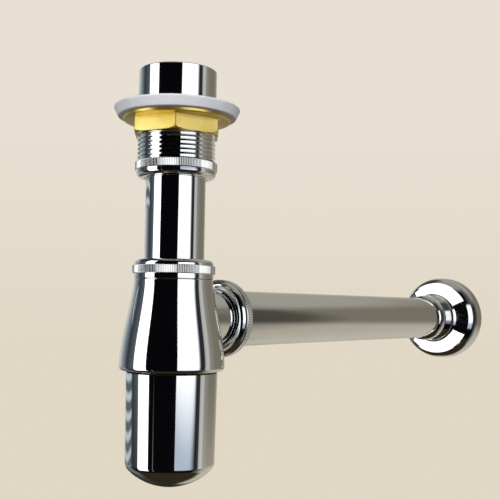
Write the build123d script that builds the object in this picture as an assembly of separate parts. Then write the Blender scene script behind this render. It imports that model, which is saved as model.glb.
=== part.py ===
from build123d import *
from math import cos, pi, radians, sin, tan
import os

# A chrome-plated brass bottle trap for a wash basin, in millimetres.
#
# Frame: +Z up, +Y along the outlet tube towards the wall. The origin is on the axis of the basin
# waste, in the plane where the rubber gasket meets the underside of the basin. The trap hangs
# below it: gasket, back nut, threaded tail, slip nut, inlet tube, collar nut, bell, cup. The
# outlet tube leaves the bell level and ends in a sliding cover on the wall.

# ---------------------------------------------------------------- driving dimensions
TUBE_R = 16.0             # outside radius of the 32 mm tubes
TUBE_WALL = 1.1
TUBE_BORE = TUBE_R - TUBE_WALL

PIPE_PITCH = 2.309        # G 1 1/4 pipe thread, 11 to the inch
PIPE_R = 41.91 / 2
FINE_PITCH = 1.5          # thread of the bottle's own neck and cup
FLANK = radians(27.5)     # half angle of the thread form

RUN = 0.1                 # clearance of a sliding or turning fit
EASY = 0.3                # clearance of a loose hole

# ---------------------------------------------------------------- heights below the basin
GASKET_THICK = 5.4
GASKET_TOP_R = 34.4
GASKET_FOOT_R = 31.8

BACK_FLANGE_R = 29.0
BACK_FLANGE_THICK = 2.0
BACK_HEX_FLATS = 44.0
BACK_HEX_TALL = 8.1
BACK_HEX_TURN = 10.5      # degrees from +X to a corner of the hexagon

TAIL_TOP = 20.0           # the plain spigot inside the basin
TAIL_BORE = 17.8
TAIL_END = -33.6

# the slip nut, measured from its closed face towards its open end
NUT_LIP = 1.6             # closed face, which pulls on the tube's flange
NUT_SKIRT = 3.75
NUT_KNURL = 4.55
NUT_TALL = NUT_SKIRT + NUT_KNURL
NUT_KNURL_R = 22.0
NUT_SKIRT_R = 21.5
NUT_FACE_R = 20.9         # the skirt narrows a little towards the closed face
NUT_ROUND = 2.7
UNION_R = 19.8            # washers, flanges and rings inside a slip nut

SLIP_THICK = 0.5
FLANGE_THICK = 1.0
WASHER_THICK = 1.5
WASHER_BORE = 15.4
UNION_STACK = SLIP_THICK + FLANGE_THICK + WASHER_THICK   # from the nut's lip to the thread's end
INLET_NUT_Z = TAIL_END - UNION_STACK - NUT_LIP           # closed face of the inlet nut

DIP_END = -180.0          # open lower end of the inlet tube, in the cup

# the collar nut and what it squeezes
COLLAR_TOP = -81.8
COLLAR_KNURL_TOP = -84.9
COLLAR_KNURL_FOOT = -89.35
COLLAR_FOOT = -92.0
COLLAR_R = 22.0
COLLAR_BAND_R = 21.1
COLLAR_LIP = 2.4
COLLAR_BORE = 19.9
COLLAR_SLIP_THICK = 0.8
SEAL_FOOT = -87.6
NECK_THREAD_R = 19.7

# the bell
BELL_TOP = -92.15
BELL_LIP = 1.1            # rounded lip under the collar nut
BELL_GROOVE = 0.25
BELL_FOOT = -140.0
BELL_TOP_R = 21.1
BELL_FOOT_R = 27.9
BELL_SWELL = 1.3          # how late the bell swells out: 1 is a quarter sine
BELL_WALL = 1.5
NECK_SPIGOT_R = 17.8
BASE_SEAT_R = 26.0
BASE_SEAT_TOP = -126.0

# the cup
CUP_TOP = -130.0
CUP_SHOULDER = -139.3
CUP_R = 24.2
CUP_THREAD_R = 23.9
CUP_LOW_R = 23.4
CUP_LOW = -189.9
CUP_DOME_R = 31.5
CUP_CORNER = 5.0
CUP_WALL = 1.3
ORING_TALL = 2.2
ORING_R = 22.8

# the outlet
OUTLET_Z = -113.0
OUTLET_NUT_Y = 34.0       # closed face of the outlet nut
COLLAR_END_Y = 43.2       # far end of the threaded collar on the wall tube
WALL_Y = 350.0
TUBE_END_Y = 390.0        # the tube runs on into the wall's socket
SPIGOT_R = TUBE_R - 0.05  # that end is rubbed down a little, so that the socket's seal grips
SPIGOT_TAPER = 1.0

# the wall cover, measured from the wall
COVER_R = 33.5
COVER_DEEP = 46.0
COVER_WALL = 1.0
COVER_HUB_R = 18.4
COVER_HUB_ROUND = 5.0     # hollow between the hub and the dish
COVER_DISH_R = 28.85      # the dish's outer edge
COVER_DISH_RISE = 16.74
COVER_DISH_TILT = radians(34.8)
COVER_ROLL = 13.0         # radius of the rim's swell
COVER_ROLL_FOOT = 7.6
COVER_ROLL_TILT = radians(42)   # the swell's slope where it meets the dish
GRIP_TALL = 3.0
GRIP_AT = 39.0

NECK_BORE = TUBE_R + RUN
NUT_HOLE = TUBE_R + EASY
BACK_HEX_TOP = -GASKET_THICK - BACK_FLANGE_THICK
BACK_NUT_FOOT = BACK_HEX_TOP - BACK_HEX_TALL
UNION_Y = OUTLET_NUT_Y + NUT_LIP + UNION_STACK           # where the wall tube starts

# local +Z of this plane is the outlet's axis, towards the wall
OUTLET = Plane(origin=(0, 0, OUTLET_Z), x_dir=(1, 0, 0), z_dir=(0, 1, 0))


# ---------------------------------------------------------------- shared shapes
def rounded(points, rounds):
    """Closed face through (radius, height) points, with some corners rounded.

    rounds maps a corner's place in the list to its radius.
    """
    face = make_face(Polyline(*points, close=True))
    for corner, radius in rounds.items():
        nearest = face.vertices().sort_by_distance(Vector(*points[corner]))[0]
        face = fillet(nearest, radius)
    return face


def turned(points, rounds=None):
    """Solid turned about Z from a closed outline of (radius, height) points."""
    return revolve(Plane.XZ * rounded(points, rounds or {}), Axis.Z)


def ring(inner, outer, low, high, edge=0.0):
    """Plain ring about Z, with its outer edges rounded by edge."""
    rounds = {1: edge, 2: edge} if edge else {}
    return turned([(inner, low), (outer, low), (outer, high), (inner, high)], rounds)


def ridges(major, pitch, low, high):
    """Outer points of a thread drawn as rings: ridge after ridge, from low up to high."""
    depth = 0.64 * pitch
    crest = pitch / 2 - depth * tan(FLANK)
    count = int((high - low) / pitch)
    first = low + (high - low - count * pitch) / 2
    points = []
    for turn in range(count):
        foot = first + turn * pitch
        middle = foot + pitch / 2
        points += [(major - depth, foot + crest / 2), (major, middle - crest / 2),
                   (major, middle + crest / 2), (major - depth, foot + pitch - crest / 2)]
    return points


def save(node, shape):
    export_step(shape, f"parts/{node}.step")


# ---------------------------------------------------------------- at the basin
def waste_tail():
    """Tail of the basin waste: plain where it passes the basin, threaded below."""
    edge = 0.6
    thread = ridges(PIPE_R, PIPE_PITCH, TAIL_END + edge, 0)
    outer = [(PIPE_R - edge, TAIL_END)] + thread + [(PIPE_R, 0), (PIPE_R, TAIL_TOP)]
    return turned(outer + [(TAIL_BORE, TAIL_TOP), (TAIL_BORE, TAIL_END)])


def basin_gasket():
    """Bevelled rubber washer, wide at the basin and narrower at the nut."""
    outline = [(PIPE_R + RUN, 0), (GASKET_TOP_R, 0), (GASKET_FOOT_R, -GASKET_THICK),
               (PIPE_R + RUN, -GASKET_THICK)]
    return turned(outline, {1: 0.7, 2: 0.5})


def back_nut():
    """Hexagon brass nut on a round flange, with a chamfered foot."""
    corner_r = BACK_HEX_FLATS / 2 / cos(pi / 6)
    flange = ring(PIPE_R + RUN, BACK_FLANGE_R, BACK_HEX_TOP, -GASKET_THICK, edge=0.4)
    hexagon = extrude(RegularPolygon(corner_r, 6, rotation=BACK_HEX_TURN), BACK_HEX_TALL)
    trim = ring(PIPE_R + RUN, corner_r - 0.3, BACK_NUT_FOOT, BACK_HEX_TOP, edge=1.2)
    return flange + (Pos(0, 0, BACK_NUT_FOOT) * hexagon & trim)


# ---------------------------------------------------------------- unions of the 32 mm tubes
def slip_nut():
    """Round nut, closed face at 0: smooth rounded skirt, then the knurled band at the open end."""
    outline = [(NUT_HOLE, 0), (NUT_FACE_R, 0), (NUT_SKIRT_R, NUT_SKIRT), (NUT_KNURL_R, NUT_SKIRT),
               (NUT_KNURL_R, NUT_TALL), (PIPE_R + RUN, NUT_TALL), (PIPE_R + RUN, NUT_LIP + UNION_STACK - RUN),
               (UNION_R + RUN, NUT_LIP + UNION_STACK - RUN), (UNION_R + RUN, NUT_LIP), (NUT_HOLE, NUT_LIP)]
    return turned(outline, {1: NUT_ROUND, 3: 0.25, 4: 0.4})


def slip_ring():
    """Nylon ring on the slip nut's lip."""
    return ring(TUBE_R + RUN, UNION_R, 0, SLIP_THICK)


def union_washer():
    """Flat rubber washer between the tube's flange and the end of the thread."""
    return ring(WASHER_BORE, UNION_R, 0, WASHER_THICK, edge=0.2)


def inlet_tube():
    """The 32 mm tube with its flange on top, which runs down into the cup as the dip tube."""
    top = TAIL_END - WASHER_THICK
    flange_foot = top - FLANGE_THICK
    return turned([(TUBE_BORE, DIP_END), (TUBE_R, DIP_END), (TUBE_R, flange_foot),
                   (UNION_R, flange_foot), (UNION_R, top), (TUBE_BORE, top)], {1: 0.3, 0: 0.3})


# ---------------------------------------------------------------- collar of the bottle
def collar_nut():
    """Collar nut: rounded shoulder on top, knurled band, smooth band at its foot."""
    ceiling = COLLAR_TOP - COLLAR_LIP
    outline = [(NUT_HOLE, COLLAR_TOP), (NUT_HOLE, ceiling), (COLLAR_BORE, ceiling),
               (COLLAR_BORE, COLLAR_FOOT), (COLLAR_BAND_R, COLLAR_FOOT),
               (COLLAR_BAND_R, COLLAR_KNURL_FOOT), (COLLAR_R, COLLAR_KNURL_FOOT),
               (COLLAR_R, COLLAR_KNURL_TOP), (COLLAR_BAND_R, COLLAR_KNURL_TOP),
               (COLLAR_BAND_R, COLLAR_TOP)]
    return turned(outline, {9: 2.8, 7: 0.25, 6: 0.25})


def collar_slip_ring():
    high = COLLAR_TOP - COLLAR_LIP
    return ring(TUBE_R + RUN, COLLAR_BORE - RUN, high - COLLAR_SLIP_THICK, high)


def collar_seal():
    """Rubber seal with a bevelled foot that wedges against the inlet tube."""
    high = COLLAR_TOP - COLLAR_LIP - COLLAR_SLIP_THICK
    outer = COLLAR_BORE - RUN
    bevel = 0.8
    return turned([(TUBE_R + RUN / 2, high), (TUBE_R + RUN / 2, SEAL_FOOT),
                   (outer - bevel, SEAL_FOOT), (outer, SEAL_FOOT + bevel), (outer, high)])


def neck_ring():
    """Threaded neck brazed into the crown of the bell, a close sliding fit on the inlet tube."""
    edge = 0.3
    spigot_foot = BELL_TOP - BELL_WALL
    thread = ridges(NECK_THREAD_R, FINE_PITCH, BELL_TOP, SEAL_FOOT - edge)
    outer = [(NECK_BORE, spigot_foot), (NECK_SPIGOT_R, spigot_foot), (NECK_SPIGOT_R, BELL_TOP)]
    return turned(outer + thread + [(NECK_THREAD_R - 1.0, SEAL_FOOT), (NECK_BORE, SEAL_FOOT)])


# ---------------------------------------------------------------- the bottle
def bell_radius(height):
    """Outside radius of the bell at a height between its groove and its foot."""
    start = BELL_TOP - BELL_LIP - BELL_GROOVE
    down = (start - height) / (start - BELL_FOOT)
    return BELL_TOP_R + (BELL_FOOT_R - BELL_TOP_R) * sin(pi / 2 * max(down, 0) ** BELL_SWELL)


def bell_curve(shrink, high, low, count=7):
    """The bell's side as a smooth curve, moved in by shrink, from high down to low."""
    heights = [high + (low - high) * step / (count - 1) for step in range(count)]
    return Spline(*[(bell_radius(height) - shrink, height) for height in heights])


def bell_block():
    """The bell's outside as a filled block."""
    lip_foot = BELL_TOP - BELL_LIP
    start = lip_foot - BELL_GROOVE
    side = bell_curve(0, start, BELL_FOOT)
    rest = Polyline((BELL_FOOT_R, BELL_FOOT), (0, BELL_FOOT), (0, BELL_TOP), (BELL_TOP_R, BELL_TOP),
                    (BELL_TOP_R, lip_foot), (BELL_TOP_R - BELL_GROOVE, lip_foot - BELL_GROOVE / 2),
                    (BELL_TOP_R, start))
    return revolve(Plane.XZ * make_face(side + rest), Axis.Z)


def bottle_bell():
    """The bell: a shell, open at its mouth, with a hole in its crown and one in its side."""
    ceiling = BELL_TOP - BELL_WALL
    side = bell_curve(BELL_WALL, ceiling - 1, BASE_SEAT_TOP)
    top_r = bell_radius(ceiling - 1) - BELL_WALL
    low_r = bell_radius(BASE_SEAT_TOP) - BELL_WALL
    rest = Polyline((low_r, BASE_SEAT_TOP), (BASE_SEAT_R, BASE_SEAT_TOP), (BASE_SEAT_R, BELL_FOOT),
                    (0, BELL_FOOT), (0, ceiling), (top_r - 1, ceiling), (top_r, ceiling - 1))
    hollow = revolve(Plane.XZ * make_face(side + rest), Axis.Z)
    crown_hole = Pos(0, 0, BELL_TOP) * Cylinder(NECK_SPIGOT_R, 4 * BELL_WALL)
    side_hole = OUTLET * Cylinder(TUBE_BORE, 2 * BELL_FOOT_R, align=(Align.CENTER, Align.CENTER, Align.MIN))
    return bell_block() - hollow - crown_hole - side_hole


def base_ring():
    """Threaded ring brazed into the bell's mouth, with a ledge that the cup's ring seals on."""
    ledge_foot = CUP_TOP + ORING_TALL
    ledge_r = CUP_THREAD_R - 2.6
    foot = CUP_SHOULDER + RUN
    return turned([(CUP_THREAD_R + RUN, foot), (BASE_SEAT_R, foot),
                   (BASE_SEAT_R, BASE_SEAT_TOP), (ledge_r, BASE_SEAT_TOP), (ledge_r, ledge_foot),
                   (CUP_THREAD_R + RUN, ledge_foot)])


def outlet_stub():
    """Branch brazed to the side of the bell, with the flange that the outlet nut pulls on."""
    flange_near = OUTLET_NUT_Y + NUT_LIP + SLIP_THICK
    end = flange_near + FLANGE_THICK
    branch = OUTLET * turned([(TUBE_BORE, 0), (TUBE_R, 0), (TUBE_R, flange_near),
                              (UNION_R, flange_near), (UNION_R, end), (TUBE_BORE, end)])
    return branch - bell_block()


def cup():
    """Bullet-shaped cup with a threaded mouth."""
    dome_z = CUP_LOW + (CUP_DOME_R ** 2 - CUP_LOW_R ** 2) ** 0.5
    rim = CUP_THREAD_R - 1.0
    thread = ridges(CUP_THREAD_R, FINE_PITCH, CUP_SHOULDER, CUP_TOP - 0.3)
    outer_side = Polyline((0, CUP_TOP), (rim, CUP_TOP), *reversed(thread), (CUP_R, CUP_SHOULDER),
                          (CUP_LOW_R, CUP_LOW))
    outer_dome = ThreePointArc((CUP_LOW_R, CUP_LOW), (CUP_DOME_R * sin(0.4), dome_z - CUP_DOME_R * cos(0.4)),
                               (0, dome_z - CUP_DOME_R))
    outer_face = make_face(outer_side + outer_dome + Line((0, dome_z - CUP_DOME_R), (0, CUP_TOP)))
    corner = outer_face.vertices().sort_by_distance(Vector(CUP_LOW_R, CUP_LOW))[0]
    outside = revolve(Plane.XZ * fillet(corner, CUP_CORNER), Axis.Z)

    bore = CUP_LOW_R - CUP_WALL
    mouth = CUP_THREAD_R - 1.0 - CUP_WALL
    dome_r = CUP_DOME_R - CUP_WALL
    inner_low = dome_z - (dome_r ** 2 - bore ** 2) ** 0.5
    inner_side = Polyline((0, CUP_TOP), (mouth, CUP_TOP), (mouth, CUP_SHOULDER), (bore, inner_low))
    inner_dome = ThreePointArc((bore, inner_low), (dome_r * sin(0.4), dome_z - dome_r * cos(0.4)),
                               (0, dome_z - dome_r))
    inner_face = make_face(inner_side + inner_dome + Line((0, dome_z - dome_r), (0, CUP_TOP)))
    corner = inner_face.vertices().sort_by_distance(Vector(bore, inner_low))[0]
    inside = revolve(Plane.XZ * fillet(corner, CUP_CORNER - CUP_WALL), Axis.Z)
    return outside - inside


def cup_oring():
    """Rubber ring between the cup's rim and the ledge of the base ring."""
    return ring(ORING_R - 1.1, ORING_R + 1.0, CUP_TOP, CUP_TOP + ORING_TALL, edge=0.9)


# ---------------------------------------------------------------- the wall tube
def tube_thread_collar():
    """Male thread for the outlet nut, brazed on the end of the wall tube."""
    edge = 0.3
    thread = ridges(PIPE_R, PIPE_PITCH, UNION_Y + edge / 3, COLLAR_END_Y)
    return OUTLET * turned([(TUBE_R, UNION_Y), (PIPE_R - 1.5, UNION_Y)] + thread
                           + [(PIPE_R - 1.5, COLLAR_END_Y), (TUBE_R, COLLAR_END_Y)])


def wall_tube():
    """Straight tube from the union into the wall."""
    return OUTLET * turned([(TUBE_BORE, UNION_Y), (TUBE_R, UNION_Y), (TUBE_R, WALL_Y),
                            (SPIGOT_R, WALL_Y + SPIGOT_TAPER), (SPIGOT_R, TUBE_END_Y),
                            (TUBE_BORE, TUBE_END_Y)])


def cover_block(shrink, hub_end):
    """The wall cover's outside as a filled block about Z, moved in by shrink, wall at 0."""
    radius, roll = COVER_R - shrink, COVER_ROLL - shrink
    hub_r = COVER_HUB_R - shrink
    rim = COVER_DISH_R - shrink * sin(COVER_DISH_TILT), COVER_DISH_RISE - shrink * cos(COVER_DISH_TILT)
    hub_foot = rim[1] + (rim[0] - hub_r) * tan(COVER_DISH_TILT)

    def on_roll(tilt):
        return COVER_R - COVER_ROLL + roll * sin(tilt), COVER_ROLL_FOOT + roll * cos(tilt)

    edge = Polyline((0, 0), (radius, 0), (radius, COVER_ROLL_FOOT))
    swell = ThreePointArc((radius, COVER_ROLL_FOOT), on_roll(radians(66)), on_roll(COVER_ROLL_TILT))
    dish = Polyline(on_roll(COVER_ROLL_TILT), rim, (hub_r, hub_foot), (hub_r, hub_end), (0, hub_end), (0, 0))
    face = make_face(edge + swell + dish)
    corner = face.vertices().sort_by_distance(Vector(hub_r, hub_foot))[0]
    return fillet(corner, COVER_HUB_ROUND + shrink)


def wall_flange():
    """Pressed wall cover: swelling rim, hollow dish, and a hub round the tube."""
    outside = cover_block(0, COVER_DEEP)
    lip = outside.vertices().sort_by_distance(Vector(COVER_HUB_R, COVER_DEEP))[0]
    outside = revolve(Plane.XZ * fillet(lip, 1.2), Axis.Z)
    inside = revolve(Plane.XZ * cover_block(COVER_WALL, COVER_DEEP - 2 * COVER_WALL), Axis.Z)
    hole = Cylinder(NUT_HOLE, 2 * COVER_DEEP)
    cover = outside - inside - hole
    return OUTLET * Pos(0, 0, WALL_Y) * Rot(180, 0, 0) * cover


def flange_grip_ring():
    """Rubber ring inside the hub of the wall cover."""
    near = WALL_Y - GRIP_AT - GRIP_TALL
    return OUTLET * ring(TUBE_R + RUN / 2, COVER_HUB_R - COVER_WALL, near, near + GRIP_TALL)


def main():
    os.makedirs("parts", exist_ok=True)
    flange_y = OUTLET_NUT_Y + NUT_LIP
    save("waste_tail", waste_tail())
    save("basin_gasket", basin_gasket())
    save("back_nut", back_nut())
    save("inlet_washer", Pos(0, 0, TAIL_END - WASHER_THICK) * union_washer())
    save("inlet_tube", inlet_tube())
    save("inlet_slip_ring", Pos(0, 0, INLET_NUT_Z + NUT_LIP) * slip_ring())
    save("inlet_nut", Pos(0, 0, INLET_NUT_Z) * slip_nut())
    save("collar_nut", collar_nut())
    save("collar_slip_ring", collar_slip_ring())
    save("collar_seal", collar_seal())
    save("neck_ring", neck_ring())
    save("bottle_bell", bottle_bell())
    save("base_ring", base_ring())
    save("outlet_stub", outlet_stub())
    save("cup", cup())
    save("cup_oring", cup_oring())
    save("outlet_slip_ring", OUTLET * Pos(0, 0, flange_y) * slip_ring())
    save("outlet_washer", OUTLET * Pos(0, 0, UNION_Y - WASHER_THICK) * union_washer())
    save("outlet_nut", OUTLET * Pos(0, 0, OUTLET_NUT_Y) * slip_nut())
    save("tube_thread_collar", tube_thread_collar())
    save("wall_tube", wall_tube())
    save("wall_flange", wall_flange())
    save("flange_grip_ring", flange_grip_ring())


main()
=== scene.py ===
from math import acos, ceil, cos, hypot, pi, radians, sin, sqrt, tan

import bmesh
import bpy
from mathutils import Matrix, Vector


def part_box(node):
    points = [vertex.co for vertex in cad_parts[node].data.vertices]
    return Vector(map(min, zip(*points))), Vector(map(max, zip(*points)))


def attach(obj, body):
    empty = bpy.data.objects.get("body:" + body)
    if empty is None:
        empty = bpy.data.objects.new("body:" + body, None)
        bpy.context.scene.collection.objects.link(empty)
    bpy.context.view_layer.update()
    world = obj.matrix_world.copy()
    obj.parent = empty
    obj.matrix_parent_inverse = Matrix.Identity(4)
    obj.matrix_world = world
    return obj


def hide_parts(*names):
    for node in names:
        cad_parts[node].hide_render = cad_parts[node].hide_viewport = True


# Looks of a chrome bottle trap. Outlines below are in millimetres, measured along the axis that
# each piece is turned about; placed() brings them to metres in the CAD's frame.

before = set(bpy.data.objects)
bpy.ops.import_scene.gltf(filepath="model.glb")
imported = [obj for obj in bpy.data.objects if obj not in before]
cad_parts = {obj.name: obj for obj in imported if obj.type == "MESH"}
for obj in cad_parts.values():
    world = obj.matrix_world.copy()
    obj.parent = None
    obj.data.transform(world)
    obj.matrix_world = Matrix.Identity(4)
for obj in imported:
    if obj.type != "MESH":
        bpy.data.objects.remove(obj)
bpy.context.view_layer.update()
MM = 0.001
TURN = 2 * pi


# ---------------------------------------------------------------- places, read from the frame
def size_of(node, along):
    """(radius, start, end) of a turned CAD node in mm, along "z" or "y"."""
    low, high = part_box(node)
    axis = "xyz".index(along)
    return (high.x - low.x) / 2 / MM, low[axis] / MM, high[axis] / MM


TUBE_R = size_of("wall_tube", "y")[0]
TUBE_BORE = TUBE_R - 1.1
WALL_Y = size_of("wall_flange", "y")[2]
OUTLET_Z = sum(corner.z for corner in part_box("wall_tube")) / 2 / MM
PIPE_R = size_of("waste_tail", "z")[0]
PIPE_HOLE = PIPE_R + 0.1          # bore that runs on the pipe thread
PIPE_PITCH = 2.309
FINE_PITCH = 1.5
NUT_HOLE = TUBE_R + 0.3

UPRIGHT = Matrix.Scale(MM, 4)
# an outline's +Z becomes the outlet's +Y
LEVEL = (Matrix.Translation((0, 0, OUTLET_Z * MM)) @ Matrix.Rotation(-pi / 2, 4, "X")
         @ Matrix.Scale(MM, 4))


# ---------------------------------------------------------------- outlines
def rounded(corners, steps=7):
    """Outline through (radius, height, rounding) corners, with each corner drawn as an arc.

    A corner with no third number stays sharp.
    """
    points = []
    count = len(corners)
    for place, corner in enumerate(corners):
        here = Vector(corner[:2])
        rounding = corner[2] if len(corner) > 2 else 0
        if not rounding:
            points.append(tuple(here))
            continue
        back = (Vector(corners[place - 1][:2]) - here).normalized()
        ahead = (Vector(corners[(place + 1) % count][:2]) - here).normalized()
        half = acos(max(-1, min(1, back.dot(ahead)))) / 2
        reach = rounding / tan(half)
        centre = here + (back + ahead).normalized() * rounding / sin(half)
        first = here + back * reach - centre
        sweep = first.angle_signed(here + ahead * reach - centre)
        for step in range(steps + 1):
            turned_by = -sweep * step / steps
            spoke = Vector((first.x * cos(turned_by) - first.y * sin(turned_by),
                            first.x * sin(turned_by) + first.y * cos(turned_by)))
            points.append(tuple(centre + spoke))
    return points


def curve_between(radius_at, first, last, count):
    """Outline points along a side whose radius is radius_at(height), from one height to another."""
    heights = [first + (last - first) * step / (count - 1) for step in range(count)]
    return [(radius_at(height), height) for height in heights]


# ---------------------------------------------------------------- turned meshes
def spin(bm, outline, shape=None, columns=192, closed=True):
    """Turns an outline about Z and returns its rings of vertices.

    shape(angle, radius, height) may change the radius; closed joins the last ring to the first.
    """
    rings = []
    for radius, height in outline:
        if radius < 1e-6:
            rings.append([bm.verts.new((0, 0, height))] * columns)
            continue
        ring = []
        for column in range(columns):
            angle = TURN * column / columns
            reach = shape(angle, radius, height) if shape else radius
            ring.append(bm.verts.new((reach * cos(angle), reach * sin(angle), height)))
        rings.append(ring)
    pairs = list(zip(rings, rings[1:]))
    if closed:
        pairs.append((rings[-1], rings[0]))
    for lower, upper in pairs:
        for column in range(columns):
            after = (column + 1) % columns
            corners = [lower[column], lower[after], upper[after], upper[column]]
            unique = list(dict.fromkeys(corners))
            if len(unique) > 2:
                bm.faces.new(unique)
    return rings


def thread_side(bm, major, pitch, low, high, columns=160):
    """Outer side of a right-hand male thread, cut square at low and high.

    Every row of vertices follows the helix, so crests and roots are smooth lines.
    """
    depth = 0.64 * pitch
    # one pitch of the thread from root to root: how far along, and how much of the depth
    form = [(0.00, 0.0), (0.10, 0.03), (0.22, 0.26), (0.34, 0.74), (0.44, 0.97), (0.50, 1.0),
            (0.56, 0.97), (0.66, 0.74), (0.78, 0.26), (0.90, 0.03)]
    start = low - 1.6 * pitch
    turns = ceil((high - low) / pitch) + 4
    total = columns * turns
    grid = []
    for place in range(total + columns + 1):
        angle = TURN * place / columns
        lift = start + pitch * place / columns
        row = []
        for along, rise in form:
            radius = major - depth + depth * rise
            row.append(bm.verts.new((radius * cos(angle), radius * sin(angle),
                                     lift + along * pitch)))
        grid.append(row)
    for place in range(total):
        here, after = grid[place], grid[place + 1]
        above, above_after = grid[place + columns], grid[place + columns + 1]
        for step in range(len(form) - 1):
            bm.faces.new((here[step], after[step], after[step + 1], here[step + 1]))
        bm.faces.new((here[-1], after[-1], above_after[0], above[0]))
    loose = [vert for vert in bm.verts if not vert.link_faces]
    bmesh.ops.delete(bm, geom=loose, context="VERTS")
    for height, normal in ((low, -1), (high, 1)):
        bmesh.ops.bisect_plane(bm, geom=bm.verts[:] + bm.edges[:] + bm.faces[:], dist=1e-5,
                               plane_co=(0, 0, height), plane_no=(0, 0, normal), clear_outer=True)
    bmesh.ops.remove_doubles(bm, verts=bm.verts[:], dist=1e-4)


def rim(bm, height):
    """The open edges that lie at a height."""
    return [edge for edge in bm.edges if edge.is_boundary
            and all(abs(vert.co.z - height) < 1e-3 for vert in edge.verts)]


def carry(bm, edges, outline):
    """Extends an open edge loop through (radius, height) points, and returns its last edges."""
    for radius, height in outline:
        made = bmesh.ops.extrude_edge_only(bm, edges=edges)["geom"]
        edges = [item for item in made if isinstance(item, bmesh.types.BMEdge)]
        for vert in {vert for edge in edges for vert in edge.verts}:
            flat = hypot(vert.co.x, vert.co.y)
            vert.co = (vert.co.x * radius / flat, vert.co.y * radius / flat, height)
    return edges


def placed(name, bm, place, body, node, sharp=32):
    """Makes an object of the mesh, in the CAD's frame, riding on a body in place of a node."""
    bmesh.ops.recalc_face_normals(bm, faces=bm.faces[:])
    mesh = bpy.data.meshes.new(name)
    bm.to_mesh(mesh)
    bm.free()
    mesh.transform(place)
    mesh.shade_smooth()
    mesh.set_sharp_from_angle(angle=radians(sharp))
    piece = bpy.data.objects.new(name, mesh)
    bpy.context.scene.collection.objects.link(piece)
    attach(piece, body)
    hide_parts(node)
    return piece


def turned(name, outline, place, body, node, shape=None, columns=192, sharp=32):
    """Object of a closed outline turned about its axis."""
    bm = bmesh.new()
    spin(bm, outline, shape, columns)
    return placed(name, bm, place, body, node, sharp)


# ---------------------------------------------------------------- at the basin
def waste_tail():
    """Threaded tail, plain above the basin's underside."""
    _, low, top = size_of("waste_tail", "z")
    bore = PIPE_R - 3.155
    bm = bmesh.new()
    thread_side(bm, PIPE_R, PIPE_PITCH, low, 0)
    upper = carry(bm, rim(bm, 0), [(PIPE_R, 0.02), (PIPE_R, top - 0.5), (PIPE_R - 0.5, top),
                                   (bore + 0.3, top), (bore, top - 0.3)])
    lower = carry(bm, rim(bm, low), [(bore + 0.3, low), (bore, low + 0.3)])
    bmesh.ops.bridge_loops(bm, edges=upper + lower)
    return placed("threaded_tail", bm, UPRIGHT, "tail", "waste_tail")


def basin_gasket():
    """Moulded rubber washer with soft edges and a bevel that bends a little."""
    top_r, foot, top = size_of("basin_gasket", "z")
    outline = rounded([(PIPE_HOLE, top, 0.3), (top_r + 0.4, top, 0.8), (top_r - 0.7, top - 2.0, 3.0),
                       (top_r - 2.3, foot, 0.7), (PIPE_HOLE, foot, 0.3)])
    return turned("gasket", outline, UPRIGHT, "gasket", "basin_gasket", sharp=60)


def back_nut():
    """Brass nut: a thin round flange under a chamfered hexagon, as one piece."""
    flange_r, foot, top = size_of("back_nut", "z")
    half_flats, first_corner = 22.0, radians(10.5)
    corner_r = half_flats / cos(pi / 6)
    flange_foot = top - 2.0

    def shape(angle, radius, height):
        """Cuts the round outline down to the hexagon, whose corners are rounded off."""
        if height > flange_foot - 1e-6 or radius < half_flats - 1.5:
            return radius
        side = (angle - first_corner + pi / 6) % (pi / 3) - pi / 6
        flat = half_flats / cos(pi / 6 - abs(side))
        return min(radius, flat, corner_r - 0.15 - 6 * side * side)

    chamfer = [(corner_r - 2.4 + 0.8 * step, foot + 0.115 * step ** 2) for step in range(4)]
    outline = [(PIPE_HOLE, top - 0.4), (PIPE_HOLE + 0.4, top)]
    outline += rounded([(flange_r - 1.2, top), (flange_r, top - 0.2, 0.15),
                        (flange_r - 0.2, flange_foot + 0.1, 0.5), (corner_r + 0.6, flange_foot)])[1:]
    outline += [(corner_r + 0.4, flange_foot), (corner_r, flange_foot - 0.3)]
    outline += [(corner_r, foot + 1.6)] + list(reversed(chamfer))
    outline += [(PIPE_HOLE + 0.6, foot), (PIPE_HOLE, foot + 0.6)]
    return turned("brass_back_nut", outline, UPRIGHT, "back_nut", "back_nut", shape, columns=720,
                  sharp=28)


# ---------------------------------------------------------------- unions
TEETH = 150
TOOTH_COLUMNS = 5
KNURL_COLUMNS = TOOTH_COLUMNS * TEETH
TOOTH_SLOPE = 0.62
TOOTH_FLANK = 0.4                 # part of a tooth's width that each of its flanks takes


def knurl(low, high, crest):
    """Radius rule for straight teeth between two heights: a fifth of crest, then a V down and up."""
    depth = TOOTH_SLOPE * TOOTH_FLANK * TURN * crest / TEETH

    def radius_at(angle, radius, height):
        if radius < crest - 0.01 or not low < height < high:
            return radius
        along = (angle * TEETH / TURN + 1e-6) % 1
        return radius - depth * max(0, 1 - abs(along - (1 - TOOTH_FLANK)) / TOOTH_FLANK)
    return radius_at


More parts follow.
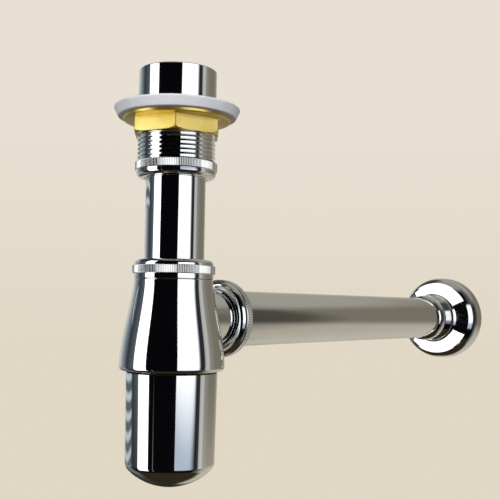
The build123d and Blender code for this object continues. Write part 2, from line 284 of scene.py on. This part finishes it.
def slip_nut(name, place, body, node, near, face_round):
    """Slip nut with its closed face at near: smooth rounded skirt, knurled band, open end."""
    crest = size_of(node, "z" if place is UPRIGHT else "y")[0]
    skirt, tall, lip, inside = 3.75, 8.3, 1.6, 4.6
    skirt_r = crest - 0.5
    room_r = 19.9
    outline = rounded([(NUT_HOLE, 0, 0.25), (skirt_r - 0.6, 0, face_round), (skirt_r, skirt - 0.12)],
                      steps=12)
    outline += [(crest - 0.45, skirt), (crest, skirt + 0.3), (crest, skirt + 0.45), (crest, skirt + 0.6)]
    outline += [(crest, tall - 0.6), (crest, tall - 0.45), (crest - 0.1, tall - 0.28),
                (crest - 0.4, tall - 0.03), (crest - 0.6, tall)]
    outline += [(PIPE_HOLE + 0.25, tall), (PIPE_HOLE, tall - 0.25), (PIPE_HOLE, inside),
                (room_r, inside), (room_r, lip), (NUT_HOLE, lip)]
    shape = knurl(near + skirt + 0.25, near + tall - 0.4, crest)
    return turned(name, [(radius, near + height) for radius, height in outline], place, body, node,
                  shape, columns=KNURL_COLUMNS, sharp=40)


def inlet_tube():
    """Straight 32 mm tube with a flange at its top."""
    flange_r, foot, top = size_of("inlet_tube", "z")
    outline = rounded([(TUBE_BORE, foot, 0.3), (TUBE_R, foot, 0.3), (TUBE_R, top - 1.0),
                       (flange_r, top - 1.0, 0.2), (flange_r, top, 0.2), (TUBE_BORE, top, 0.4)], steps=4)
    return turned("inlet_pipe", outline, UPRIGHT, "inlet", "inlet_tube", columns=256)


# ---------------------------------------------------------------- the bottle
def collar_nut():
    """Collar nut: rounded shoulder, knurled band, smooth band above the bell."""
    crest, foot, top = size_of("collar_nut", "z")
    band = crest - 0.9
    knurl_top, knurl_foot = top - 3.1, top - 7.55
    ceiling, bore = top - 2.4, 19.9
    outline = [(bore, foot + 0.2), (bore, ceiling), (NUT_HOLE, ceiling), (NUT_HOLE, top - 0.3)]
    outline += rounded([(NUT_HOLE + 0.3, top), (band, top, 2.7), (band, knurl_top + 0.1)], steps=10)
    outline += [(crest - 0.4, knurl_top), (crest - 0.1, knurl_top - 0.15), (crest, knurl_top - 0.3)]
    outline += [(crest, knurl_top - 0.45), (crest, knurl_foot + 0.45)]
    outline += [(crest, knurl_foot + 0.3), (crest - 0.1, knurl_foot + 0.15), (crest - 0.4, knurl_foot)]
    outline += [(band, knurl_foot - 0.1), (band, foot + 0.25), (band - 0.25, foot), (bore + 0.2, foot)]
    shape = knurl(knurl_foot + 0.1, knurl_top - 0.1, crest)
    return turned("collar_ring_nut", outline, UPRIGHT, "collar_nut", "collar_nut", shape,
                  columns=KNURL_COLUMNS, sharp=40)


BELL_R, BELL_FOOT, BELL_TOP = size_of("bottle_bell", "z")
BELL_TOP_R = 21.1
BELL_START = BELL_TOP - 1.35      # where the side begins, under the rolled lip
BELL_SWELL = 1.3


def bell_radius(height):
    """Outside radius of the bell's side, the same rule as the CAD's."""
    down = max(0.0, (BELL_START - height) / (BELL_START - BELL_FOOT))
    return BELL_TOP_R + (BELL_R - BELL_TOP_R) * sin(pi / 2 * down ** BELL_SWELL)


def bottle_bell():
    """Bell shell with a rolled lip on top and a hole where the outlet is brazed on."""
    seat_r, seat_top, wall = 26.0, BELL_FOOT + 14.0, 1.5
    crown_hole = 17.8
    ceiling = BELL_TOP - wall
    outline = rounded([(crown_hole, BELL_TOP), (BELL_TOP_R, BELL_TOP, 0.6), (BELL_TOP_R, BELL_START)],
                      steps=6)
    outline += curve_between(bell_radius, BELL_START - 0.4, BELL_FOOT + 2.3, 44)
    outline += rounded([(BELL_R, BELL_FOOT + 2.2), (BELL_R, BELL_FOOT, 1.9), (seat_r + 0.3, BELL_FOOT)],
                       steps=10)
    outline += [(seat_r, BELL_FOOT + 0.3), (seat_r, seat_top)]
    outline += curve_between(lambda height: bell_radius(height) - wall, seat_top, ceiling - 1, 20)
    outline += [(bell_radius(ceiling - 1) - wall - 1, ceiling), (crown_hole, ceiling)]
    bell = turned("bell_shell", outline, UPRIGHT, "bottle", "bottle_bell", columns=288)
    near, far = 5, 40
    cut = bmesh.new()
    spin(cut, [(0, near), (TUBE_BORE, near), (TUBE_BORE, far), (0, far)], columns=96)
    mesh = bpy.data.meshes.new("outlet_hole")
    bmesh.ops.recalc_face_normals(cut, faces=cut.faces[:])
    cut.to_mesh(mesh)
    cut.free()
    mesh.transform(LEVEL)
    cutter = bpy.data.objects.new("outlet_hole", mesh)
    bpy.context.scene.collection.objects.link(cutter)
    hole = bell.modifiers.new("outlet_hole", "BOOLEAN")
    hole.object, hole.operation, hole.solver = cutter, "DIFFERENCE", "EXACT"
    done = bpy.data.meshes.new_from_object(bell.evaluated_get(bpy.context.evaluated_depsgraph_get()))
    bell.modifiers.clear()
    bell.data = done
    bpy.data.objects.remove(cutter)
    return bell


def cup():
    """Bullet-shaped cup, one smooth wall down to its dome, with a fine thread round its mouth."""
    side_r, foot, top = size_of("cup", "z")
    low_r, low, dome_r, corner, wall = 23.4, foot + 10.41, 31.5, 5.0, 1.3
    shoulder, thread_top = top - 9.3, top - 0.4
    thread_r = side_r - 0.3
    mouth_r = thread_r - 2.3
    dome_z = foot + dome_r
    dome_edge = 0.70              # half angle of the dome, in radians

    def dome(radius):
        """Points from the dome's edge down to just short of its middle."""
        tilts = [dome_edge * step / 13 for step in range(13, 0, -1)]
        return [(radius * sin(tilt), dome_z - radius * cos(tilt)) for tilt in tilts]

    outer_side = rounded([(side_r, shoulder), (low_r, low + 0.05, corner), dome(dome_r)[0]],
                         steps=12)[1:-1]
    inner_r = dome_r - wall
    bore = low_r - wall
    inner_low = dome_z - sqrt(inner_r ** 2 - bore ** 2)
    inner_side = rounded([(mouth_r, shoulder), (bore, inner_low, corner - wall), dome(inner_r)[0]],
                         steps=8)[1:-1]
    bm = bmesh.new()
    thread_side(bm, thread_r, FINE_PITCH, shoulder, thread_top, columns=192)
    chamfer = [(side_r - 1.7, shoulder - 0.02), (side_r - 1.6, shoulder - 0.1),
               (side_r - 0.1, shoulder - 1.7), (side_r, shoulder - 1.85)]
    outer = carry(bm, rim(bm, shoulder), chamfer + outer_side + dome(dome_r))
    bmesh.ops.contextual_create(bm, geom=outer)
    mouth = [(thread_r - 1.1, top), (thread_r - 2.1, top), (mouth_r, top - 0.2), (mouth_r, shoulder)]
    inner = carry(bm, rim(bm, thread_top), mouth + inner_side + dome(inner_r))
    bmesh.ops.contextual_create(bm, geom=inner)
    return placed("bullet_cup", bm, UPRIGHT, "cup", "cup")


def outlet_stub():
    """Branch whose root is cut to the bell's side, with the flange that its nut pulls on."""
    flange_r, _, end = size_of("outlet_stub", "y")
    columns = 192
    bm = bmesh.new()

    def ring(radius, height=None):
        """Ring of vertices at a height, or on the bell's side where none is given."""
        verts = []
        for column in range(columns):
            angle = TURN * column / columns
            across, down = radius * cos(angle), radius * sin(angle)
            level = height
            if height is None:
                level = sqrt(bell_radius(OUTLET_Z - down) ** 2 - across ** 2) + 0.02
            verts.append(bm.verts.new((across, down, level)))
        return verts

    outline = rounded([(TUBE_R, end - 1.0), (flange_r, end - 1.0, 0.2), (flange_r, end, 0.2),
                       (TUBE_BORE, end, 0.3)], steps=4)
    rings = [ring(TUBE_R)] + [ring(*point) for point in outline] + [ring(TUBE_BORE)]
    for lower, upper in zip(rings, rings[1:] + rings[:1]):
        for column in range(columns):
            after = (column + 1) % columns
            bm.faces.new((lower[column], lower[after], upper[after], upper[column]))
    return placed("outlet_branch", bm, LEVEL, "bottle", "outlet_stub")


# ---------------------------------------------------------------- the wall side
def thread_collar():
    """Short brass thread brazed on the tube's end."""
    major, near, far = size_of("tube_thread_collar", "y")
    ease = 0.2
    bm = bmesh.new()
    thread_side(bm, major, PIPE_PITCH, near + ease, far - ease)
    upper = carry(bm, rim(bm, far - ease), [(TUBE_R + 2, far), (TUBE_R + 0.01, far)])
    lower = carry(bm, rim(bm, near + ease), [(TUBE_R + 2, near), (TUBE_R + 0.01, near)])
    bmesh.ops.bridge_loops(bm, edges=upper + lower)
    return placed("union_thread", bm, LEVEL, "wall_tube", "tube_thread_collar")


def wall_tube():
    """Long tube to the wall, its far end rubbed down for the socket's seal."""
    radius, near, far = size_of("wall_tube", "y")
    rubbed = radius - 0.05
    outline = rounded([(TUBE_BORE, near, 0.2), (radius, near, 0.2), (radius, WALL_Y),
                       (rubbed, WALL_Y + 1), (rubbed, far, 0.45), (TUBE_BORE, far, 0.3)], steps=4)
    return turned("wall_pipe", outline, LEVEL, "wall_tube", "wall_tube", columns=256)


def wall_cover():
    """Pressed wall cover of thin sheet: swelling rim, hollow dish and a hub with a tapering end.

    Heights in its outline are measured from the wall.
    """
    radius, hub_end, wall_y = size_of("wall_flange", "y")
    thick, deep, hub_r = 1.0, wall_y - hub_end, 18.4
    swell, swell_z = 13.0, 7.6        # radius of the rim's roll, and how far its centre stands off
    dish_r, dish_z, dish_tilt, hollow = 28.85, 16.74, radians(34.8), 5.0
    nose, nose_tilt = 7.0, radians(64)

    def side(inset):
        """Outline from the wall up to the hub, on the sheet's outer or inner side."""
        roll = swell - inset
        points = [(radius - inset, 0.0)]
        for step in range(19):
            tilt = radians(90 - 48 * step / 18)
            points.append((radius - swell + roll * sin(tilt), swell_z + roll * cos(tilt)))
        edge = Vector((dish_r - inset * sin(dish_tilt), dish_z - inset * cos(dish_tilt)))
        foot = edge.y + (edge.x - hub_r + inset) * tan(dish_tilt)
        along = rounded([tuple(edge), (hub_r - inset, foot, hollow + inset), (hub_r - inset, foot + 9)],
                        steps=16)
        middle = (edge + Vector((hub_r, foot))) / 2
        return points + [tuple(edge), tuple(middle)] + along[1:-1]

    lip = []
    for step in range(13):
        tilt = nose_tilt * step / 12
        out = (cos(tilt) - cos(nose_tilt)) / (1 - cos(nose_tilt))
        lip.append((NUT_HOLE + (hub_r - NUT_HOLE) * out,
                    deep - nose * (1 - sin(tilt) / sin(nose_tilt))))
    outline = side(0) + lip + [(NUT_HOLE, deep - thick), (hub_r - thick, deep - nose)]
    outline += list(reversed(side(thick)))
    flipped = [(reach, wall_y - height) for reach, height in outline]
    return turned("wall_rosette", flipped, LEVEL, "wall_cover", "wall_flange", columns=320)


# ---------------------------------------------------------------- materials
def shader(name, **sockets):
    """New material with its Principled sockets set; returns it with its node tree and shader."""
    material = bpy.data.materials.new(name)
    material.use_nodes = True
    tree = material.node_tree
    surface = tree.nodes["Principled BSDF"]
    for socket, value in sockets.items():
        surface.inputs[socket.replace("_", " ")].default_value = value
    return material, tree, surface


def node(tree, kind, **inputs):
    """New node with input values set by name, where _ stands for a space."""
    made = tree.nodes.new(kind)
    for name, value in inputs.items():
        made.inputs[name.replace("_", " ")].default_value = value
    return made


def noise(tree, scale, detail=3.0, stretch=(1, 1, 1)):
    """Noise in metres of object space, stretched along an axis where stretch is small."""
    place = tree.nodes.new("ShaderNodeTexCoord")
    mapping = node(tree, "ShaderNodeMapping", Scale=stretch)
    texture = node(tree, "ShaderNodeTexNoise", Scale=scale, Detail=detail)
    tree.links.new(place.outputs["Object"], mapping.inputs["Vector"])
    tree.links.new(mapping.outputs["Vector"], texture.inputs["Vector"])
    return texture.outputs["Fac"]


def spread(tree, source, low, high, start=0.3, stop=0.7):
    """Maps a 0 to 1 source to a range of values."""
    made = node(tree, "ShaderNodeMapRange", From_Min=start, From_Max=stop, To_Min=low, To_Max=high)
    tree.links.new(source, made.inputs["Value"])
    return made.outputs["Result"]


def tint(tree, source, dark, light):
    """Colour between two tones by a source."""
    ramp = tree.nodes.new("ShaderNodeValToRGB")
    for stop, position, tone in zip(ramp.color_ramp.elements, (0.32, 0.68), (dark, light)):
        stop.position, stop.color = position, (*tone, 1)
    tree.links.new(source, ramp.inputs["Fac"])
    return ramp.outputs["Color"]


def bump(tree, surface, height, strength, distance):
    """Lets a height source tilt the surface, up to a distance in metres."""
    made = node(tree, "ShaderNodeBump", Strength=strength, Distance=distance)
    tree.links.new(height, made.inputs["Height"])
    tree.links.new(made.outputs["Normal"], surface.inputs["Normal"])


def chrome(name, rough=0.035):
    """Bright chrome plate with a haze that varies from place to place."""
    tone = 0.92
    material, tree, surface = shader(name, Metallic=1.0)
    haze = noise(tree, 38, 4)
    tree.links.new(spread(tree, haze, rough * 0.5, rough * 1.7), surface.inputs["Roughness"])
    tree.links.new(tint(tree, haze, (tone * 0.97, tone * 0.985, tone), (tone, tone, tone)),
                   surface.inputs["Base Color"])
    return material


def brass(name, rough=0.30, dark=(0.78, 0.58, 0.13), light=(1.0, 0.80, 0.28)):
    """Bare machined brass: fine tool marks and slightly darker patches."""
    material, tree, surface = shader(name, Metallic=0.9)
    patches = noise(tree, 60, 4)
    marks = noise(tree, 700, 3, (1, 1, 6))
    tree.links.new(tint(tree, patches, dark, light), surface.inputs["Base Color"])
    tree.links.new(spread(tree, marks, rough * 0.92, rough * 1.12), surface.inputs["Roughness"])
    bump(tree, surface, marks, 0.04, 0.00003)
    return material


def rubber(name, dark, light, rough):
    """Moulded rubber with a fine pebbled skin and faint bloom."""
    material, tree, surface = shader(name, Specular_IOR_Level=0.35)
    bloom = noise(tree, 90, 5)
    skin = noise(tree, 2600, 2)
    tree.links.new(tint(tree, bloom, dark, light), surface.inputs["Base Color"])
    tree.links.new(spread(tree, bloom, rough - 0.08, rough + 0.08), surface.inputs["Roughness"])
    bump(tree, surface, skin, 0.25, 0.00008)
    return material


def paint(piece, material):
    """Gives a new piece its one material."""
    piece.data.materials.clear()
    piece.data.materials.append(material)


def repaint(node_name, material):
    """Gives a carried-over CAD node a material."""
    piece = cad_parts[node_name]
    if not piece.material_slots:
        piece.data.materials.append(material)
    for place in piece.material_slots:
        place.material = material


# ---------------------------------------------------------------- studio
CAMERA_AZIMUTH = radians(36.63)
CAMERA_TILT = radians(3.80)       # looks up a little
CAMERA_ROLL = radians(0.92)
CAMERA_PLACE = Vector((0.3002, -0.3361, -0.1056))
LENS = 60.65


def aim_camera():
    """Camera at the place, turn and lens of the picture."""
    camera = bpy.data.objects.new("camera", bpy.data.cameras.new("camera"))
    camera.data.lens = LENS
    camera.data.sensor_width = 36
    camera.data.clip_start, camera.data.clip_end = 0.01, 30
    side = Vector((cos(CAMERA_AZIMUTH), sin(CAMERA_AZIMUTH), 0))
    level = Vector((-sin(CAMERA_AZIMUTH), cos(CAMERA_AZIMUTH), 0))
    ahead = level * cos(CAMERA_TILT) + Vector((0, 0, sin(CAMERA_TILT)))
    up = side.cross(ahead)
    turn = Matrix((side, up, -ahead)).transposed() @ Matrix.Rotation(CAMERA_ROLL, 3, "Z")
    camera.matrix_world = Matrix.Translation(CAMERA_PLACE) @ turn.to_4x4()
    bpy.context.scene.collection.objects.link(camera)
    bpy.context.scene.camera = camera


VIEW_SIDE = radians(-48.2)        # direction from the bottle to the camera, in plan


def round_the_bottle(bearing, distance):
    """Plan point at a bearing in degrees from the camera's direction, positive to its right."""
    angle = VIEW_SIDE + radians(bearing)
    return cos(angle) * distance, sin(angle) * distance


def panel(name, start, end, low, high, strength, colour=(1, 1, 1),
          fade=(0.03, 0.03, 0.03, 0.03), stripes=None):
    """Upright glowing panel between two plan points, from low to high, seen only in reflections.

    fade is the part of its width or height over which it turns from clear to full: at its start,
    at its end, at its foot and at its top. stripes is how many slanting waves of light it has over
    its height, and their slant.
    """
    mesh = bpy.data.meshes.new(name)
    mesh.from_pydata([(*start, low), (*end, low), (*end, high), (*start, high)], [], [(0, 1, 2, 3)])
    corners = mesh.uv_layers.new(name="corners").data
    for place, corner in enumerate([(0, 0), (1, 0), (1, 1), (0, 1)]):
        corners[place].uv = corner
    lamp = bpy.data.objects.new(name, mesh)
    bpy.context.scene.collection.objects.link(lamp)
    material = bpy.data.materials.new(name)
    material.use_nodes = True
    tree = material.node_tree
    tree.nodes.remove(tree.nodes["Principled BSDF"])
    glow = node(tree, "ShaderNodeEmission", Color=(*colour, 1), Strength=strength)
    place = tree.nodes.new("ShaderNodeTexCoord").outputs["UV"]
    if stripes:
        count, slant = stripes
        wave = node(tree, "ShaderNodeTexWave", Scale=count / 3.18, Distortion=0.6, Detail=1.0)
        wave.bands_direction = "Y"
        turn = node(tree, "ShaderNodeMapping", Rotation=(0, 0, slant))
        tree.links.new(place, turn.inputs["Vector"])
        tree.links.new(turn.outputs["Vector"], wave.inputs["Vector"])
        tree.links.new(spread(tree, wave.outputs["Fac"], 0.22 * strength, strength, 0.3, 0.9),
                       glow.inputs["Strength"])
    across = tree.nodes.new("ShaderNodeSeparateXYZ")
    tree.links.new(place, across.inputs["Vector"])
    cover = None
    for axis, clear_at, full_at in (("X", 0, fade[0]), ("X", 1, 1 - fade[1]),
                                    ("Y", 0, fade[2]), ("Y", 1, 1 - fade[3])):
        edge = node(tree, "ShaderNodeMapRange", From_Min=clear_at, From_Max=full_at)
        edge.interpolation_type = "SMOOTHSTEP"
        tree.links.new(across.outputs[axis], edge.inputs["Value"])
        if cover is None:
            cover = edge.outputs["Result"]
            continue
        product = tree.nodes.new("ShaderNodeMath")
        product.operation = "MULTIPLY"
        tree.links.new(cover, product.inputs[0])
        tree.links.new(edge.outputs["Result"], product.inputs[1])
        cover = product.outputs["Value"]
    clear = tree.nodes.new("ShaderNodeBsdfTransparent")
    mixed = tree.nodes.new("ShaderNodeMixShader")
    tree.links.new(cover, mixed.inputs["Fac"])
    tree.links.new(clear.outputs["BSDF"], mixed.inputs[1])
    tree.links.new(glow.outputs["Emission"], mixed.inputs[2])
    tree.links.new(mixed.outputs["Shader"], tree.nodes["Material Output"].inputs["Surface"])
    mesh.materials.append(material)
    lamp.visible_camera = lamp.visible_shadow = False


def lights():
    """Two soft boxes, a bluish glow under the right one, and fainter strips on the left."""
    panel("left_box", round_the_bottle(-89, 0.95), round_the_bottle(-56.5, 0.95), -0.75, 0.9, 1.7)
    panel("left_gap", round_the_bottle(-44.3, 0.9), round_the_bottle(-42.5, 0.9), -0.75, -0.18, 0.5,
          fade=(0.3, 0.3, 0.05, 0.9))
    panel("right_box", round_the_bottle(11.5, 3.0), round_the_bottle(66, 2.9), -0.87, 1.6, 1.35,
          (0.98, 0.99, 1.0), (0.02, 0.18, 0.23, 0.2))
    panel("right_skirt", round_the_bottle(11.5, 3.2), round_the_bottle(67, 3.1), -1.5, 0.1, 0.62,
          (0.72, 0.83, 1.0), (0.02, 0.33, 0.25, 0.1))
    waves_per_metre = 32
    for name, low, high in (("cup_hatch", -0.42, -0.17), ("tube_hatch", 0.03, 0.16)):
        panel(name, round_the_bottle(-158, 0.9), round_the_bottle(-112, 0.9), low, high, 0.62,
              (0.80, 0.93, 1.0), (0.15, 0.15, 0.1, 0.15), (waves_per_metre * (high - low), 0.05))


def lamp_for(name, pieces, place, turn, over, tall, strength, colour=(1, 1, 1)):
    """Flat lamp of an even brightness that only some pieces reflect; it faces down until turned."""
    lit = bpy.data.collections.new(name)
    for piece in pieces:
        lit.objects.link(piece)
    light = bpy.data.lights.new(name, "AREA")
    light.shape, light.size, light.size_y = "RECTANGLE", over, tall
    light.energy, light.color = strength * pi * over * tall, colour
    lamp = bpy.data.objects.new(name, light)
    lamp.location, lamp.rotation_euler = place, turn
    lamp.light_linking.receiver_collection = lit
    lamp.visible_camera = lamp.visible_diffuse = False
    bpy.context.scene.collection.objects.link(lamp)


def linked_lights(cover, upright):
    """Lamps over and under the cover's dish, and a pale band for the upright pieces' right side."""
    lamp_for("over_the_cover", [cover], (-0.40, 0.04, 0.62), (0, 0, radians(-18)), 1.8, 0.5, 1.4)
    lamp_for("over_the_right", [cover], (0.56, -0.27, 0.62), (0, 0, radians(-40)), 0.55, 0.22, 1.4)
    lamp_for("under_the_cover", [cover], (-0.45, 0.07, -0.80), (pi, 0, radians(-15)), 1.7, 0.5, 1.4)
    lamp_for("under_the_right", [cover], (0.56, -0.25, -0.80), (pi, 0, radians(-40)), 0.55, 0.22, 1.4)
    away, tall = 1.5, 1.5
    for name, first, last, strength in (("pale_band", 77, 88, 0.14), ("pale_middle", 75.5, 91, 0.14),
                                        ("pale_edge", 76.5, 98, 0.12), ("pale_end", 80, 104, 0.06)):
        middle = (first + last) / 2
        lamp_for(name, upright, (*round_the_bottle(middle, away), 0.0),
                 (pi / 2, 0, VIEW_SIDE + radians(middle) + pi / 2),
                 2 * away * tan(radians(last - first) / 2), tall, strength, (1.0, 0.98, 0.92))


def front_fill():
    """Broad soft light from the camera's side for the rubber and the brass; mirrors don't see it."""
    light = bpy.data.lights.new("front_fill", "AREA")
    light.size = 1.2
    light.energy = 10.5
    lamp = bpy.data.objects.new("front_fill", light)
    lamp.location = (0.62, -0.72, 0.30)
    lamp.rotation_euler = (Vector((0, 0, 0)) - lamp.location).to_track_quat("-Z", "Y").to_euler()
    lamp.visible_camera = lamp.visible_glossy = False
    bpy.context.scene.collection.objects.link(lamp)


# tones round the room, by bearing in degrees from the camera's direction, positive to its right
LEVEL_TONES = [(-180, (0.62, 0.58, 0.50)), (-152, (0.60, 0.60, 0.56)), (-130, (0.20, 0.235, 0.27)),
               (-113, (0.030, 0.040, 0.052)), (-98, (0.075, 0.09, 0.105)), (-88, (0.12, 0.13, 0.14)),
               (-56, (0.002, 0.002, 0.003)), (12, (0.002, 0.002, 0.003)), (60, (0.02, 0.025, 0.03)),
               (70, (0.02, 0.025, 0.03)), (84, (0.04, 0.04, 0.035)), (97, (0.08, 0.075, 0.06)),
               (103, (0.20, 0.18, 0.14)), (125, (0.19, 0.17, 0.13)), (138, (0.20, 0.18, 0.14)),
               (158, (0.36, 0.32, 0.26))]
LOW_TONES = [(-180, (0.02, 0.018, 0.015)), (-158, (0.05, 0.05, 0.05)), (-138, (0.20, 0.22, 0.24)),
             (-108, (0.012, 0.012, 0.013)), (-80, (0.003, 0.003, 0.004)), (66, (0.003, 0.003, 0.004)),
             (84, (0.12, 0.115, 0.10)), (105, (0.42, 0.39, 0.32)), (150, (0.52, 0.49, 0.40)),
             (169, (0.48, 0.45, 0.37)), (175, (0.05, 0.045, 0.035))]
HIGH_TONES = [(-180, (0.05, 0.045, 0.04)), (-130, (0.05, 0.05, 0.05)), (-60, (0.02, 0.02, 0.02)),
              (-50, (0.003, 0.003, 0.004)), (30, (0.003, 0.003, 0.004)), (80, (0.12, 0.12, 0.11)),
              (110, (0.34, 0.33, 0.29)), (171, (0.36, 0.34, 0.29)), (177, (0.10, 0.09, 0.08))]
FLOOR_TONE = (0.030, 0.022, 0.012)
CEILING_TONE = (0.30, 0.29, 0.27)


def tones_round(tree, source, tones):
    """Colour by bearing, where the source runs from 0 to 1 once round."""
    ramp = tree.nodes.new("ShaderNodeValToRGB")
    stops = ramp.color_ramp.elements
    stops.remove(stops[1])
    stops[0].position = 0
    stops[0].color = (*tones[0][1], 1)
    for bearing, tone in tones[1:] + [(180, tones[0][1])]:
        stops.new((bearing + 180) / 360).color = (*tone, 1)
    tree.links.new(source, ramp.inputs["Fac"])
    return ramp.outputs["Color"]


def blend_at(tree, source, start, stop, below, above):
    """Goes over from one colour to another while the source runs from start to stop."""
    edge = node(tree, "ShaderNodeMapRange", From_Min=start, From_Max=stop)
    edge.interpolation_type = "SMOOTHSTEP"
    tree.links.new(source, edge.inputs["Value"])
    mixed = tree.nodes.new("ShaderNodeMixRGB")
    tree.links.new(edge.outputs["Result"], mixed.inputs["Fac"])
    for socket, colour in (("Color1", below), ("Color2", above)):
        if isinstance(colour, tuple):
            mixed.inputs[socket].default_value = (*colour, 1)
        else:
            tree.links.new(colour, mixed.inputs[socket])
    return mixed.outputs["Color"]


def room():
    """Room seen in the chrome: tones by bearing at three heights, then floor and ceiling."""
    world = bpy.data.worlds.new("room")
    bpy.context.scene.world = world
    world.use_nodes = True
    tree = world.node_tree
    place = tree.nodes.new("ShaderNodeTexCoord")
    turn = tree.nodes.new("ShaderNodeVectorRotate")
    turn.rotation_type = "Z_AXIS"
    turn.inputs["Angle"].default_value = -VIEW_SIDE
    tree.links.new(place.outputs["Generated"], turn.inputs["Vector"])
    parts = tree.nodes.new("ShaderNodeSeparateXYZ")
    tree.links.new(turn.outputs["Vector"], parts.inputs["Vector"])
    bearing = tree.nodes.new("ShaderNodeMath")
    bearing.operation = "ARCTAN2"
    tree.links.new(parts.outputs["Y"], bearing.inputs[0])
    tree.links.new(parts.outputs["X"], bearing.inputs[1])
    once = node(tree, "ShaderNodeMapRange", From_Min=-pi, From_Max=pi)
    tree.links.new(bearing.outputs["Value"], once.inputs["Value"])
    low, level, high = [tones_round(tree, once.outputs["Result"], tones)
                        for tones in (LOW_TONES, LEVEL_TONES, HIGH_TONES)]
    rise = parts.outputs["Z"]
    colour = blend_at(tree, rise, -0.80, -0.66, FLOOR_TONE, low)
    colour = blend_at(tree, rise, -0.36, -0.08, colour, level)
    colour = blend_at(tree, rise, 0.34, 0.56, colour, high)
    colour = blend_at(tree, rise, 0.86, 0.97, colour, CEILING_TONE)
    tree.links.new(colour, tree.nodes["Background"].inputs["Color"])


def backdrop():
    """Pale paper all round, well away from the object, seen by the camera only; it glows instead of
    taking light, with painted shade that makes it darker and warmer towards the bottom.
    """
    floor_z, reach, bend, tall = -1.6, 2.4, 0.9, 3.6
    outline = [(0, 0), (reach - bend, 0)]
    outline += [(reach - bend + bend * sin(tilt), bend - bend * cos(tilt)) for tilt in
                [pi / 2 * step / 16 for step in range(1, 17)]]
    outline += [(reach, tall), (0, tall)]
    bm = bmesh.new()
    spin(bm, outline, columns=96, closed=False)
    mesh = bpy.data.meshes.new("backdrop")
    bm.to_mesh(mesh)
    bm.free()
    mesh.transform(Matrix.Translation((0, 0.15, floor_z)))
    mesh.shade_smooth()
    sweep = bpy.data.objects.new("backdrop", mesh)
    bpy.context.scene.collection.objects.link(sweep)
    material = bpy.data.materials.new("pale_paper")
    material.use_nodes = True
    tree = material.node_tree
    tree.nodes.remove(tree.nodes["Principled BSDF"])
    place = tree.nodes.new("ShaderNodeTexCoord")
    parts = tree.nodes.new("ShaderNodeSeparateXYZ")
    tree.links.new(place.outputs["Object"], parts.inputs["Vector"])
    rise = node(tree, "ShaderNodeMapRange", From_Min=-0.9, From_Max=1.2)
    tree.links.new(parts.outputs["Z"], rise.inputs["Value"])
    # painted shade: the paper's glow is darker and warmer low down and lighter higher up, not lit by any
    # lamp
    painted_paper_shade = tint(tree, rise.outputs["Result"], (0.75, 0.68, 0.56), (0.80, 0.745, 0.65))
    glow = node(tree, "ShaderNodeEmission", Strength=1.0)
    tree.links.new(painted_paper_shade, glow.inputs["Color"])
    tree.links.new(glow.outputs["Emission"], tree.nodes["Material Output"].inputs["Surface"])
    mesh.materials.append(material)
    sweep.visible_glossy = sweep.visible_shadow = sweep.visible_diffuse = False


def main():
    """Sets the stage, then makes and paints every piece."""
    aim_camera()
    room()
    lights()
    front_fill()
    backdrop()
    bpy.context.scene.view_settings.view_transform = "Standard"

    plate = chrome("chrome_plate")
    nut_plate = chrome("chrome_nut", rough=0.06)
    bare = brass("bare_brass")
    dull = brass("dull_brass", 0.5, (0.10, 0.07, 0.03), (0.16, 0.11, 0.05))
    grey = rubber("grey_rubber", (0.72, 0.73, 0.77), (0.80, 0.81, 0.85), 0.42)
    black = rubber("black_rubber", (0.012, 0.012, 0.013), (0.022, 0.022, 0.024), 0.6)
    nylon = rubber("white_nylon", (0.74, 0.72, 0.66), (0.82, 0.80, 0.75), 0.4)

    upright = [waste_tail(), inlet_tube(), bottle_bell(), cup(), collar_nut(),
               slip_nut("inlet_slip_nut", UPRIGHT, "inlet_nut", "inlet_nut",
                        size_of("inlet_nut", "z")[1], 2.7)]
    cover = wall_cover()
    level = [outlet_stub(), wall_tube(), cover,
             slip_nut("outlet_slip_nut", LEVEL, "outlet_nut", "outlet_nut",
                      size_of("outlet_nut", "y")[1], 3.5)]
    for piece in upright + level:
        paint(piece, nut_plate if piece.name.endswith("nut") else plate)
    paint(basin_gasket(), grey)
    paint(back_nut(), bare)
    paint(thread_collar(), bare)
    linked_lights(cover, upright)
    for name in ("neck_ring", "base_ring"):
        repaint(name, dull)
    for name in ("inlet_washer", "collar_seal", "cup_oring", "outlet_washer", "flange_grip_ring"):
        repaint(name, black)
    for name in ("inlet_slip_ring", "collar_slip_ring", "outlet_slip_ring"):
        repaint(name, nylon)


main()
